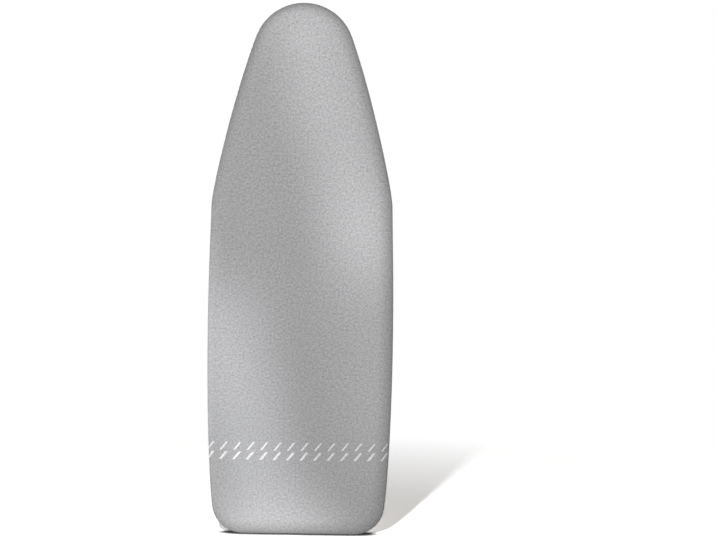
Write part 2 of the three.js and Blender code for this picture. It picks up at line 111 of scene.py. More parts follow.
# Gathers of the hem, which the elastic draws up: narrow ridges with flat valleys between
GATHER_DEPTH = 3.8 * MM
CORNER_GATHER_PITCH = 15 * MM
SIDE_GATHER_PITCH = 27 * MM
SIDE_GATHER_SHARE = 0.42
CLIP_FLAT = 15 * MM
CLIP_FADE = 26 * MM
RIDGE_HEIGHT = 1.7
RIDGE_SHARPNESS = 1.7
RIDGE_ARCH = 0.75 * math.pi
VALLEY_DEPTH = 0.55
CREASE_HEIGHT = 0.3

# Unevenness of the gathers, as waves: their height, how many go round the board, and their start
FULLNESS_WAVES = ((0.3, 23, 1), (0.2, 41, 0))
WANDER_WAVES = ((1.1, 31, 0),)
SLANT_WAVES = ((0.7, 19, 2),)

# How the hem's spare cloth settles into those gathers
SPARE_LENGTH = 0.1
LOOSENING_ROWS = 5
SETTLING_FRAMES = 20
CLOTH_SETTINGS = {
    "quality": 6,
    "mass": 0.15,
    "tension_stiffness": 40,
    "compression_stiffness": 40,
    "shear_stiffness": 10,
    "bending_stiffness": 0.05,
    "air_damping": 2,
    "pin_stiffness": 50,
}

# Tape and elastic
TAPE = 0.6 * MM
BINDING_OVERLAP = 9 * MM
ELASTIC_WIDTH = 7.8 * MM
ELASTIC_THICKNESS = 1.2 * MM

# Straps
STRAP_WIDTH = 20 * MM
STRAP_THICKNESS = 1.4 * MM
STRAP_SPLAY = 8 * MM
STRAP_RIBS = 7
RIB_HEIGHT = 0.12 * MM
RIB_ROOM = 0.15 * MM
SELVEDGE_SHARE = 0.04
SELVEDGE_THINNING = 0.45
SEWN_LAP = 28 * MM
RETURN_LENGTH = 140 * MM
BAR_EYE = 0.8 * MM
BAR_EYE_END = 1.4 * MM

# Stitching
STITCH_LENGTH = 3 * MM
STITCH_PITCH = 4.2 * MM
STITCH_ARCH = 0.2 * MM
THREAD_RADIUS = 0.34 * MM
SEAM_MARGIN = 2 * MM
LAP_MARGIN = 2.5 * MM
LAP_START = 3 * MM

# Edges of the clips and sliders
PLATE_EDGE = 0.18 * MM
PIN_EDGE = 0.2 * MM
GRIP_EDGE = 0.15 * MM
SLIDER_EDGE = 0.45 * MM
EDGE_SEGMENTS = 2
SHARP_ANGLE = math.radians(35)
WELD_REACH = 0.005 * MM

# How finely curves are drawn
CURVE_POINTS = 400
BEND_POINTS = 3000
BEND_SPREAD = 200
CLOTH_POINTS_PER_GATHER = 8
PAD_POINTS_PER_GATHER = 3
PANEL_STEPS = 10
ROLL_STEPS = 10
SKIRT_STEPS = 2
TURN_STEPS = 5
HEM_STEPS = 10
TAPE_POINTS = 6
FOLD_POINTS = 7
LOOP_POINTS = 9
LAP_POINTS = 8
ACROSS_POINTS = 80
RETURN_POINTS = 40
COLUMNS_PER_RIB = 6

# How near two points of a soft piece are joined
MERGE_REACH = 0.02 * MM

# Studio lamps, floor and world
AMBIENT = 0.075
MIRROR_BEHIND = 0.5
FLOOR_SIZE = 12
FLOOR_GAIN = 4.3
SHADOW_FADE_START = 0.42
SHADOW_FADE_END = 1.5
# How far the painted contact shade on the floor reaches, and how dark it gets
PAINTED_SHADE_REACH = 60 * MM
PAINTED_SHADE_DARKEST = 0.04
KEY_TURN = math.radians(-8.6)
KEY_RISE = math.radians(22)
KEY_DISTANCE = 4.5
BEAM_DISTANCE = 0.9

# Camera
CAMERA_DISTANCE = 8.0
CAMERA_ELEVATION = math.radians(6.5)
CAMERA_ROLL = math.radians(0.86)
SENSOR_WIDTH = 36
FRAME_WIDTH = 716
MM_PER_PIXEL = 2.44
AIM_ASIDE = 0.1387
AIM_HEIGHT = 0.0046

# Inputs of a Mix node that mixes colours, and its output
FACTOR, COLOUR_A, COLOUR_B, MIXED = 0, 6, 7, 2

# Scale of a wave texture whose bands are a metre apart
BANDS = 0.314

# Levels along Y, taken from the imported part
face_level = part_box("face_cloth")[0].y
foam_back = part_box("foam_pad")[1].y
felt_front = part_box("felt_underlay")[0].y
hem_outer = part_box("skirt_tail")[1].y
binding_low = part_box("binding_tail")[0].y
binding_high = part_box("binding_tail")[1].y
roll_level = face_level + ROLL_DEPTH
hem_level = (binding_low + binding_high) / 2
floor_level = cad_box[0].z

# Insets from the board's edge
skirt_inset = -EASE - CLOTH
roll_inset = skirt_inset + ROLL_WIDTH
hem_edge = skirt_inset + HEM_WIDTH
hem_step = (HEM_WIDTH - TURN_RADIUS) / HEM_STEPS
binding_mouth = hem_edge - BINDING_OVERLAP
binding_end = hem_edge + 2 * LAY_GAP + ELASTIC_WIDTH + TAPE

# How far the padding lies below the cover's outer face
pad_depth = CLOTH + LAY_GAP

PLACES = ("tail", "middle", "nose")
SIDES = ("left", "right")

# Name of the map of each woven piece as it lies flat, in metres
FLAT_MAP = "flat_cut"


def strap_span(place):
    """How far a strap reaches aside to the bars of its clips, and the height of its middle line."""
    low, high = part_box(f"strap_{place}")
    return high.x - BAR_EYE_END - BAR_EYE - STRAP_THICKNESS, (low.z + high.z) / 2


# Outline of the board

def bezier(a, b, c, d):
    t = np.linspace(0, 1, CURVE_POINTS)[:, None]
    return (1 - t) ** 3 * a + 3 * t * (1 - t) ** 2 * b + 3 * t**2 * (1 - t) * c + t**3 * d


def arc(centre, radius, start, end):
    angle = np.linspace(start, end, CURVE_POINTS)
    return centre + radius * np.column_stack((np.cos(angle), np.sin(angle)))


def down_the_side(start, lean, reach):
    """A point further down the side along a line that leans out; a negative reach goes back up."""
    return start + reach * np.array((math.sin(lean), -math.cos(lean)))


def half_outline():
    """The right half as X and Z, from the nose tip to the middle of the tail."""
    top = BOARD_LENGTH / 2
    side = BOARD_WIDTH / 2
    corner_reach = TAIL_CORNER_RADIUS * math.cos(TAIL_ANGLE)
    shoulder = np.array((side - SHOULDER_NARROWING, top - TAPER_LENGTH))
    widest = np.array((side, WIDEST_HEIGHT - top))
    corner = np.array((side - TAIL_NARROWING - corner_reach, TAIL_CORNER_RADIUS - top))
    nose_arc = arc(np.array((0, top - NOSE_RADIUS)), NOSE_RADIUS, math.pi / 2, NOSE_TAPER_ANGLE)
    corner_arc = arc(corner, TAIL_CORNER_RADIUS, -TAIL_ANGLE, -math.pi / 2)
    taper = bezier(
        nose_arc[-1],
        down_the_side(nose_arc[-1], NOSE_TAPER_ANGLE, TAPER_REACH),
        down_the_side(shoulder, SHOULDER_ANGLE, -SHOULDER_REACH),
        shoulder,
    )
    upper = bezier(
        shoulder,
        down_the_side(shoulder, SHOULDER_ANGLE, SIDE_REACH),
        down_the_side(widest, 0, -SIDE_REACH),
        widest,
    )
    lower = bezier(
        widest,
        down_the_side(widest, 0, SIDE_REACH),
        down_the_side(corner_arc[0], -TAIL_ANGLE, -TAIL_REACH),
        corner_arc[0],
    )
    return np.vstack((nose_arc, taper[1:], upper[1:], lower[1:], corner_arc[1:], [(0, -top)]))


def distances(points):
    """How far each point of a line lies from its start, along the line."""
    return np.concatenate(([0], np.cumsum(np.linalg.norm(np.diff(points, axis=0), axis=1))))


def sharpness(even):
    """How sharply a line of evenly spaced points turns, evened out; 1 is as sharp as a tail corner."""
    along = np.gradient(even, axis=0)
    heading = np.unwrap(np.arctan2(along[:, 1], along[:, 0]))
    turning = -np.gradient(heading) / np.linalg.norm(along, axis=1) * TAIL_CORNER_RADIUS
    evener = np.ones(2 * BEND_SPREAD + 1) / (2 * BEND_SPREAD + 1)
    return np.convolve(np.pad(turning, BEND_SPREAD, mode="reflect"), evener, "valid")


class Outline:
    """Stations round the board, down the right side from the nose tip and up the left.

    The first one comes again at the end. They are spaced by the hem's gathers, so that every gather has
    as many of them.
    """

    def __init__(self, points_per_gather):
        right = half_outline()
        travel = distances(right)
        even = np.linspace(0, travel[-1], BEND_POINTS)
        bend = sharpness(np.column_stack([np.interp(even, travel, right[:, i]) for i in (0, 1)]))
        pitch = SIDE_GATHER_PITCH + (CORNER_GATHER_PITCH - SIDE_GATHER_PITCH) * np.clip(bend, 0, 1)
        passed = np.concatenate(([0], np.cumsum(np.diff(even) / pitch[1:])))
        gathers = round(passed[-1])
        half = np.linspace(0, gathers, gathers * points_per_gather + 1)
        self.phase = 2 * math.pi * np.concatenate((half, 2 * gathers - half[-2::-1]))
        self.count = len(self.phase)
        half_travel = np.interp(half, passed * gathers / passed[-1], even)
        self.travel = np.concatenate((half_travel, 2 * travel[-1] - half_travel[-2::-1]))
        half_at = np.column_stack([np.interp(half_travel, travel, right[:, i]) for i in (0, 1)])
        self.at = np.vstack((half_at, half_at[-2::-1] * (-1, 1)))
        ends = np.vstack((self.at[-2], self.at, self.at[1]))
        along = ends[2:] - ends[:-2]
        along /= np.linalg.norm(along, axis=1)[:, None]
        self.out = np.column_stack((-along[:, 1], along[:, 0]))
        half_bend = np.interp(half_travel, even, bend)
        self.fullness = self.gather_share(np.concatenate((half_bend, half_bend[-2::-1])))

    def uneven(self, waves):
        """The sum of some waves that go round the board."""
        whole = 2 * math.pi * self.travel / self.travel[-1]
        return sum(height * np.sin(count * whole + start) for height, count, start in waves)

    def gather_share(self, bend):
        """How full the gathers are: most at the nose and corners, least on the sides, none at the clips."""
        share = np.clip(SIDE_GATHER_SHARE + bend, 0, 1) * (1 + self.uneven(FULLNESS_WAVES))
        near_side = abs(self.out[:, 0]) > abs(self.out[:, 1])
        for place in PLACES:
            height = strap_span(place)[1]
            away = np.where(near_side, abs(self.at[:, 1] - height), BOARD_LENGTH)
            share = share * np.clip((away - CLIP_FLAT) / CLIP_FADE, 0, 1)
        return share

    def flat(self, reach):
        """Places in X and Z that lie a reach inside the outline, or outside it if the reach is negative."""
        return self.at - self.out * reach

    def ring(self, inset, level):
        plan = self.flat(inset)
        return np.column_stack((plan[:, 0], np.broadcast_to(level, self.count), plan[:, 1]))

    def hem_ring(self, inset, level):
        """A ring on the underside, lifted by the gathers, whose ridges wander towards the binding."""
        rise = min((inset - skirt_inset) / (binding_mouth - skirt_inset), 1)
        phase = self.phase + self.uneven(WANDER_WAVES) + rise * self.uneven(SLANT_WAVES)
        ridge = RIDGE_HEIGHT * (0.5 + 0.5 * np.cos(phase)) ** RIDGE_SHARPNESS - VALLEY_DEPTH
        crease = CREASE_HEIGHT * rise**2 * np.sin(2 * phase + 1)
        lift = GATHER_DEPTH * self.fullness * math.sin(RIDGE_ARCH * rise) * (ridge + crease)
        return self.ring(inset, level + lift)

    def kept_in(self, row):
        """A row with the points that stand out past the skirt drawn back to it."""
        plan = row[:, [0, 2]]
        past = np.sum((plan - self.at) * self.out, axis=1) + skirt_inset
        plan = plan - self.out * np.clip(past, 0, None)[:, None]
        return np.column_stack((plan[:, 0], row[:, 1], plan[:, 1]))

    def panel_ring(self, share, inset, level):
        """A ring of the flat panel, drawn in towards the middle line of the board."""
        edge = self.flat(inset)
        top = BOARD_LENGTH / 2
        middle = np.clip(edge[:, 1], BOARD_WIDTH / 2 - top, top - NOSE_RADIUS)
        x = edge[:, 0] * share
        z = middle + (edge[:, 1] - middle) * share
        return np.column_stack((x, np.broadcast_to(level, self.count), z))


fine = Outline(CLOTH_POINTS_PER_GATHER)
coarse = Outline(PAD_POINTS_PER_GATHER)


# Building meshes

def only(*chosen):
    """Selects these objects alone, with the first one active."""
    bpy.ops.object.select_all(action="DESELECT")
    for obj in chosen:
        obj.select_set(True)
    bpy.context.view_layer.objects.active = chosen[0]


def pairs(count, closed):
    """Each of so many places with the next one; in a closed round the last goes with the first."""
    return [(i, (i + 1) % count) for i in range(count if closed else count - 1)]


def quads(row_pairs, column_pairs, count):
    """Faces between rows of points and between their columns, where each row has as many points."""
    return [
        (a * count + i, a * count + j, b * count + j, b * count + i)
        for a, b in row_pairs
        for i, j in column_pairs
    ]


def soft_piece(name, rows, finish, closed=False, flat=None):
    """A mesh through rows of stations round the cover; a closed one joins its last row to its first."""
    count = len(rows[0])
    faces = quads(pairs(len(rows), closed), pairs(count, False), count)
    return mesh_piece(name, np.vstack(rows), faces, finish, None if flat is None else np.vstack(flat))


def mesh_piece(name, points, faces, finish, flat=None):
    mesh = bpy.data.meshes.new(name)
    mesh.from_pydata(points.tolist(), [], faces)
    if flat is not None:
        corners = np.empty(len(mesh.loops), dtype=np.int32)
        mesh.loops.foreach_get("vertex_index", corners)
        layer = mesh.uv_layers.new(name=FLAT_MAP)
        layer.data.foreach_set("uv", flat[corners].astype(np.float32).ravel())
    piece = bpy.data.objects.new(name, mesh)
    bpy.context.scene.collection.objects.link(piece)
    mesh.materials.append(finish)
    only(piece)
    bpy.ops.object.mode_set(mode="EDIT")
    bpy.ops.mesh.select_all(action="SELECT")
    bpy.ops.mesh.remove_doubles(threshold=MERGE_REACH)
    bpy.ops.object.mode_set(mode="OBJECT")
    bpy.ops.object.shade_smooth()
    return piece


def add_thickness(piece, thickness):
    only(piece)
    modifier = piece.modifiers.new("thickness", "SOLIDIFY")
    modifier.thickness = thickness
    modifier.offset = -1
    bpy.ops.object.modifier_apply(modifier=modifier.name)


# Materials

def linear(colour):
    """An sRGB hex colour as linear RGBA."""
    parts = [int(colour[i:i + 2], 16) / 255 for i in (1, 3, 5)]
    return (*[c / 12.92 if c <= 0.04045 else ((c + 0.055) / 1.055) ** 2.4 for c in parts], 1.0)


def add(tree, kind, inputs=None, out=0, **settings):
    """Adds a node with its settings and gives one of its outputs; an input is a value or such an output."""
    made = tree.nodes.new("ShaderNode" + kind)
    for name, value in settings.items():
        setattr(made, name, value)
    for name, value in (inputs or {}).items():
        if isinstance(value, bpy.types.NodeSocket):
            tree.links.new(value, made.inputs[name])
        else:
            made.inputs[name].default_value = value
    return made.outputs[out] if made.outputs else None


def new_material(name):
    made = bpy.data.materials.new(name)
    made.use_nodes = True
    made.node_tree.nodes.clear()
    return made, made.node_tree


def printed_bars(tree, flat, grain):
    """A mask of the print: two staggered rows of plain slanted bars, in ink that the grain shows through."""
    band_low = 182 * MM - BOARD_LENGTH / 2
    row_height = 24 * MM
    row_count = 2
    row_stagger = 0.5
    bar_pitch = 33 * MM
    bar_share = 0.21
    thinner_above = 0.06
    bar_lean = math.radians(52)
    row_margin = 0.09
    place = add(tree, "SeparateXYZ", {"Vector": flat}).node.outputs
    above = add(tree, "Math", {0: place["Y"], 1: band_low}, operation="SUBTRACT")
    rows = add(tree, "Math", {0: above, 1: row_height}, operation="DIVIDE")
    row = add(tree, "Math", {0: rows}, operation="FLOOR")
    in_row = add(tree, "Math", {0: rows}, operation="FRACT")
    slant = add(tree, "Math", {0: above, 1: 1 / math.tan(bar_lean)}, operation="MULTIPLY")
    across = add(tree, "Math", {0: place["X"], 1: slant}, operation="SUBTRACT")
    bars = add(tree, "Math", {0: across, 1: bar_pitch}, operation="DIVIDE")
    staggered = add(tree, "Math", {0: row, 1: row_stagger, 2: bars}, operation="MULTIPLY_ADD")
    in_bar = add(tree, "Math", {0: staggered}, operation="FRACT")
    width = add(tree, "Math", {0: row, 1: -thinner_above, 2: bar_share}, operation="MULTIPLY_ADD")
    bar = add(tree, "Math", {0: in_bar, 1: width}, operation="LESS_THAN")
    bar_ends = add(tree, "Math", {0: in_row, 1: 0.5, 2: 0.5 - row_margin}, operation="COMPARE")
    band = add(tree, "Math", {0: rows, 1: row_count / 2, 2: row_count / 2}, operation="COMPARE")
    ended = add(tree, "Math", {0: bar, 1: bar_ends}, operation="MULTIPLY")
    whole = add(tree, "Math", {0: ended, 1: band}, operation="MULTIPLY")
    ink = add(tree, "MapRange", {
        "Value": grain, "From Min": 0.3, "From Max": 0.6, "To Min": 0.55, "To Max": 1.0})
    return add(tree, "Math", {0: whole, 1: ink}, operation="MULTIPLY")


def metallised_cotton():
    """Cotton twill with a thin aluminium coat: satin grey with a fine sparkle, and a printed band."""
    grain_size = 5 * MM
    mottle_size = 45 * MM
    twill_pitch = 2.4 * MM
    thread_pitch = 1.3 * MM
    made, tree = new_material("metallised_cotton")
    flat = add(tree, "UVMap", uv_map=FLAT_MAP)
    # The grains are single threads of half a millimetre; they are drawn larger, or the render loses them.
    grain = add(tree, "TexNoise", {
        "Vector": flat, "Scale": 1 / grain_size, "Detail": 1.5, "Roughness": 0.7}, out="Fac")
    mottle = add(tree, "TexNoise", {"Vector": flat, "Scale": 1 / mottle_size, "Detail": 2.0}, out="Fac")
    # The twill lines are 0.6 mm apart on the cloth and its threads half that; both are drawn coarser.
    turned = add(tree, "Mapping", {"Vector": flat, "Rotation": (0, 0, math.radians(45))})
    twill = add(tree, "TexWave", {
        "Vector": turned, "Scale": BANDS / twill_pitch, "Distortion": 1.2, "Detail": 1.0}, out="Fac")
    threads = add(tree, "TexWave", {
        "Vector": flat, "Scale": BANDS / thread_pitch, "Distortion": 0.8, "Detail": 1.0}, out="Fac")
    woven = add(tree, "Math", {0: twill, 1: threads}, operation="MULTIPLY")
    sparkle = add(tree, "MapRange", {"Value": grain, "From Min": 0.2, "From Max": 0.8})
    thread_colour = add(tree, "Mix", {
        FACTOR: sparkle, COLOUR_A: linear("#9b9b9d"), COLOUR_B: linear("#cfcfd0")}, MIXED, data_type="RGBA")
    shade = add(tree, "Mix", {
        FACTOR: mottle, COLOUR_A: linear("#f2f2f2"), COLOUR_B: linear("#ffffff")}, MIXED, data_type="RGBA")
    lines = add(tree, "Mix", {
        FACTOR: woven, COLOUR_A: linear("#e0e0e0"), COLOUR_B: shade}, MIXED, data_type="RGBA")
    coat = add(tree, "Mix", {
        FACTOR: 1.0, COLOUR_A: thread_colour, COLOUR_B: lines
    }, MIXED, data_type="RGBA", blend_type="MULTIPLY")
    printed = printed_bars(tree, flat, grain)
    colour = add(tree, "Mix", {
        FACTOR: printed, COLOUR_A: coat, COLOUR_B: linear("#ececec")}, MIXED, data_type="RGBA")
    metal = add(tree, "MapRange", {"Value": printed, "To Min": 0.25, "To Max": 0.0})
    rough = add(tree, "MapRange", {"Value": grain, "To Min": 0.64, "To Max": 0.5})
    weave = add(tree, "Math", {0: woven, 1: grain}, operation="ADD")
    bump = add(tree, "Bump", {"Height": weave, "Strength": 0.35, "Distance": 0.25 * MM})
    shader = add(tree, "BsdfPrincipled", {
        "Base Color": colour,
        "Metallic": metal,
        "Roughness": rough,
        "Normal": bump,
        "Specular IOR Level": 0.05,
    })
    add(tree, "OutputMaterial", {"Surface": shader})
    return made


def open_cell_foam():
    """Cut polyether foam: matt cream with small open cells."""
    cell_size = 2 * MM
    made, tree = new_material("open_cell_foam")
    where = add(tree, "TexCoord", out="Object")
    cells = add(tree, "TexVoronoi", {"Vector": where, "Scale": 1 / cell_size}, out="Distance")
    colour = add(tree, "Mix", {
        FACTOR: cells, COLOUR_A: linear("#cfc8b0"), COLOUR_B: linear("#f0ead8")}, MIXED, data_type="RGBA")
    bump = add(tree, "Bump", {"Height": cells, "Strength": 0.6, "Distance": 0.6 * MM})
    shader = add(tree, "BsdfPrincipled", {"Base Color": colour, "Roughness": 0.95, "Normal": bump})
    add(tree, "OutputMaterial", {"Surface": shader})
    return made


def needled_felt():
    """Needled felt: matt pale grey, with fibres lying both ways, dark flecks and needle dimples."""
    fibre_width = 1.0 * MM
    fibre_slimness = 6
    fibre_turns = (0.6, -0.8)
    fleck_spacing = 5 * MM
    needle_spacing = 4 * MM
    cloud_size = 40 * MM
    made, tree = new_material("needled_felt")
    where = add(tree, "TexCoord", out="Object")
    one_way, other_way = [
        add(tree, "Mapping", {
            "Vector": where, "Rotation": (0, turn, 0), "Scale": (1, 1, fibre_slimness)
        }, vector_type="TEXTURE")
        for turn in fibre_turns
    ]
    first, second = [
        add(tree, "TexNoise", {
            "Vector": way, "Scale": 1 / fibre_width, "Detail": 3.0, "Distortion": 1.0}, out="Fac")
        for way in (one_way, other_way)
    ]
    fibres = add(tree, "Math", {0: first, 1: second}, operation="MAXIMUM")
    clouds = add(tree, "TexNoise", {"Vector": where, "Scale": 1 / cloud_size, "Detail": 3.0}, out="Fac")
    flecks = add(tree, "TexVoronoi", {"Vector": one_way, "Scale": 1 / fleck_spacing}, out="Distance")
    needles = add(tree, "TexVoronoi", {
        "Vector": where, "Scale": 1 / needle_spacing, "Randomness": 0.35}, out="Distance")
    lying = add(tree, "MapRange", {"Value": fibres, "From Min": 0.4, "From Max": 0.75})
    base = add(tree, "Mix", {
        FACTOR: lying, COLOUR_A: linear("#aeaaa2"), COLOUR_B: linear("#dedad2")}, MIXED, data_type="RGBA")
    cloudy = add(tree, "Mix", {
        FACTOR: clouds, COLOUR_A: base, COLOUR_B: linear("#c6c3bb")}, MIXED, data_type="RGBA")
    fleck = add(tree, "MapRange", {
        "Value": flecks, "From Min": 0.05, "From Max": 0.12, "To Min": 0.5, "To Max": 0.0})
    colour = add(tree, "Mix", {
        FACTOR: fleck, COLOUR_A: cloudy, COLOUR_B: linear("#70747b")}, MIXED, data_type="RGBA")
    dimple = add(tree, "MapRange", {"Value": needles, "From Max": 0.35})
    height = add(tree, "Math", {0: dimple, 1: lying}, operation="ADD")
    bump = add(tree, "Bump", {"Height": height, "Strength": 0.6, "Distance": 0.5 * MM})
    shader = add(tree, "BsdfPrincipled", {
        "Base Color": colour, "Roughness": 1.0, "Normal": bump, "Sheen Weight": 0.15})
    add(tree, "OutputMaterial", {"Surface": shader})
    return made


def woven_band(name, dark, light, rib_pitch, weft_pitch, roughness, depth):
    """A woven band: ribs along it, crossed by the finer lines of the weft, in a matt yarn."""
    yarn_size = 1.2 * MM
    yarn_share = 0.5
    made, tree = new_material(name)
    flat = add(tree, "UVMap", uv_map=FLAT_MAP)
    ribs = add(tree, "TexWave", {"Vector": flat, "Scale": BANDS / rib_pitch}, "Fac", bands_direction="Y")
    weft = add(tree, "TexWave", {
        "Vector": flat, "Scale": BANDS / weft_pitch, "Distortion": 0.6}, "Fac", bands_direction="X")
    yarn = add(tree, "TexNoise", {"Vector": flat, "Scale": 1 / yarn_size, "Detail": 2.0}, out="Fac")
    weave = add(tree, "Math", {0: ribs, 1: weft}, operation="MULTIPLY")
    uneven = add(tree, "Math", {0: yarn, 1: yarn_share, 2: weave}, operation="MULTIPLY_ADD")
    colour = add(tree, "Mix", {
        FACTOR: uneven, COLOUR_A: linear(dark), COLOUR_B: linear(light)}, MIXED, data_type="RGBA")
    bump = add(tree, "Bump", {"Height": uneven, "Strength": 0.6, "Distance": depth})
    shader = add(tree, "BsdfPrincipled", {
        "Base Color": colour, "Roughness": roughness, "Normal": bump, "Sheen Weight": 0.1})
    add(tree, "OutputMaterial", {"Surface": shader})
    return made


def polyester_thread():
    """Twisted sewing thread: pale grey with a slight lustre and a slanting twist."""
    twist_pitch = 0.5 * MM
    made, tree = new_material("polyester_thread")
    where = add(tree, "TexCoord", out="Object")
    twist = add(tree, "TexWave", {
        "Vector": where, "Scale": BANDS / twist_pitch}, "Fac", bands_direction="DIAGONAL")
    colour = add(tree, "Mix", {
        FACTOR: twist, COLOUR_A: linear("#b4b5b7"), COLOUR_B: linear("#d6d6d6")}, MIXED, data_type="RGBA")
    shader = add(tree, "BsdfPrincipled", {"Base Color": colour, "Roughness": 0.5})
    add(tree, "OutputMaterial", {"Surface": shader})
    return made


def nickel_plate():
    """Stamped steel with a nickel coat: warm bright metal, clouded in places, with faint drawing lines."""
    line_width = 0.25 * MM
    line_shortening = 0.08
    cloud_size = 6 * MM
    made, tree = new_material("nickel_plate")
    where = add(tree, "TexCoord", out="Object")
    drawn = add(tree, "Mapping", {"Vector": where, "Scale": (line_shortening, 1, 1)})
    lines = add(tree, "TexNoise", {"Vector": drawn, "Scale": 1 / line_width, "Detail": 2.0}, out="Fac")
    clouds = add(tree, "TexNoise", {"Vector": where, "Scale": 1 / cloud_size, "Detail": 3.0}, out="Fac")
    colour = add(tree, "Mix", {
        FACTOR: clouds, COLOUR_A: linear("#a9a7a2"), COLOUR_B: linear("#c4c2bc")}, MIXED, data_type="RGBA")
    worn = add(tree, "Math", {0: lines, 1: clouds}, operation="MULTIPLY")
    rough = add(tree, "MapRange", {"Value": worn, "To Min": 0.2, "To Max": 0.6})
    bump = add(tree, "Bump", {"Height": lines, "Strength": 0.15, "Distance": 0.05 * MM})
    shader = add(tree, "BsdfPrincipled", {
        "Base Color": colour, "Metallic": 1.0, "Roughness": rough, "Normal": bump})
    add(tree, "OutputMaterial", {"Surface": shader})
    return made


def moulded(name, dark, light, roughness, grain_size):
    """A moulded plastic with the fine grain of its mould, a little uneven in gloss."""
    cloud_size = 12 * MM
    gloss_change = 0.08
    made, tree = new_material(name)
    where = add(tree, "TexCoord", out="Object")
    grain = add(tree, "TexNoise", {"Vector": where, "Scale": 1 / grain_size, "Detail": 2.0}, out="Fac")
    clouds = add(tree, "TexNoise", {"Vector": where, "Scale": 1 / cloud_size, "Detail": 2.0}, out="Fac")
    colour = add(tree, "Mix", {
        FACTOR: clouds, COLOUR_A: linear(dark), COLOUR_B: linear(light)}, MIXED, data_type="RGBA")
    rough = add(tree, "MapRange", {
        "Value": grain, "To Min": roughness - gloss_change, "To Max": roughness + gloss_change})
    bump = add(tree, "Bump", {"Height": grain, "Strength": 0.25, "Distance": 0.08 * MM})
    shader = add(tree, "BsdfPrincipled", {"Base Color": colour, "Roughness": rough, "Normal": bump})
    add(tree, "OutputMaterial", {"Surface": shader})
    return made


cotton = metallised_cotton()
foam = open_cell_foam()
felt = needled_felt()
tape = woven_band("cotton_tape", "#77787b", "#a2a3a6",
                  rib_pitch=1.7 * MM, weft_pitch=1.1 * MM, roughness=0.85, depth=0.25 * MM)
elastic = woven_band("knitted_elastic", "#c9c7c0", "#f3f1ea",
                     rib_pitch=1.3 * MM, weft_pitch=0.9 * MM, roughness=0.75, depth=0.2 * MM)
webbing = woven_band("elastic_webbing", "#bdbab2", "#efede7",
                     rib_pitch=STRAP_WIDTH / STRAP_RIBS, weft_pitch=1.2 * MM, roughness=0.8, depth=0.25 * MM)
thread = polyester_thread()
nickel = nickel_plate()
nylon = moulded("moulded_nylon", "#e6e5e0", "#f5f4f1", roughness=0.42, grain_size=0.5 * MM)
vinyl = moulded("soft_vinyl", "#4a4c4f", "#5c5e61", roughness=0.6, grain_size=0.4 * MM)


# Cover cloth and padding

def crown(share):
    """How far the padding lifts the face at a share of the way from the middle line to the roll."""
    return CROWN * (1 - share**2) ** 2


def ripple(points, share):
    """How far the unevenness moves some points of the face."""
    x, z = points[:, 0], points[:, 2]
    wave = sum(np.sin(across * x + along * z + start) for across, along, start in RIPPLE_WAVES)
    return RIPPLE * (1 - share**2) * wave


def roll_angle(depth, level):
    return math.acos((roll_level - level) / (ROLL_DEPTH - depth))


def roll_place(depth, angle):
    """Inset and level of a point on the rolled edge, some depth below the cover's outer face."""
    inset = roll_inset - (ROLL_WIDTH - depth) * math.sin(angle)
    level = roll_level - (ROLL_DEPTH - depth) * math.cos(angle)
    return inset, level


def padded_face(outline, depth):
    """Rows of the ironing face from the middle line out to the roll, some depth below the outer face."""
    rows = []
    for share in np.linspace(0, 1, PANEL_STEPS + 1):
        row = outline.panel_ring(share, roll_inset, face_level + depth - crown(share))
        row[:, 1] += ripple(row, share)
        rows.append(row)
    return rows


def cloth_section():
    """Inset and level pairs: round the roll and down the skirt, then round the turn and along the hem."""
    roll = [roll_place(0, angle) for angle in np.linspace(0, math.pi / 2, ROLL_STEPS + 1)[1:]]
    turn_level = hem_outer - TURN_RADIUS
    skirt = [(skirt_inset, level) for level in np.linspace(roll_level, turn_level, SKIRT_STEPS + 1)[1:]]
    turn = []
    for angle in np.linspace(0, math.pi / 2, TURN_STEPS + 1)[1:]:
        inset = skirt_inset + TURN_RADIUS * (1 - math.cos(angle))
        turn.append((inset, turn_level + TURN_RADIUS * math.sin(angle)))
    hem_start = skirt_inset + TURN_RADIUS
    hem = [(inset, hem_outer) for inset in np.linspace(hem_start, hem_edge, HEM_STEPS + 1)[1:]]
    return roll + skirt, turn + hem


def board_underside():
    """A sheet where the underside of the board is, which the hem can't pass while it settles."""
    edge = skirt_inset + TURN_RADIUS
    rows = [coarse.panel_ring(share, edge, BOARD_DEPTH) for share in (1, 0)]
    underside = soft_piece("board_underside", rows, cotton)
    underside.modifiers.new("firm", "COLLISION")
    underside.collision.thickness_outer = CLOTH
    underside.collision.use_culling = False
    return underside


def loose_hem(insets, rows):
    """The rows of the hem as cloth, with groups for what is held and for where there is no spare length."""
    count = fine.count - 1
    faces = quads(pairs(len(rows), False), pairs(count, True), count)
    hem = mesh_piece("loose_hem", np.vstack([row[:-1] for row in rows]), faces, cotton)
    held = hem.vertex_groups.new(name="held")
    snug = hem.vertex_groups.new(name="snug")
    loose_along = np.clip(fine.fullness / SIDE_GATHER_SHARE, 0, 1)
    for r, inset in enumerate(insets):
        row = list(range(r * count, (r + 1) * count))
        if r == 0 or inset > binding_mouth - hem_step:
            held.add(row, 1.0, "REPLACE")
        loose_here = np.clip((r - 1) / LOOSENING_ROWS, 0, 1)
        for vertex, loose in zip(row, loose_along):
            snug.add([vertex], 1 - loose_here * loose, "REPLACE")
    return hem


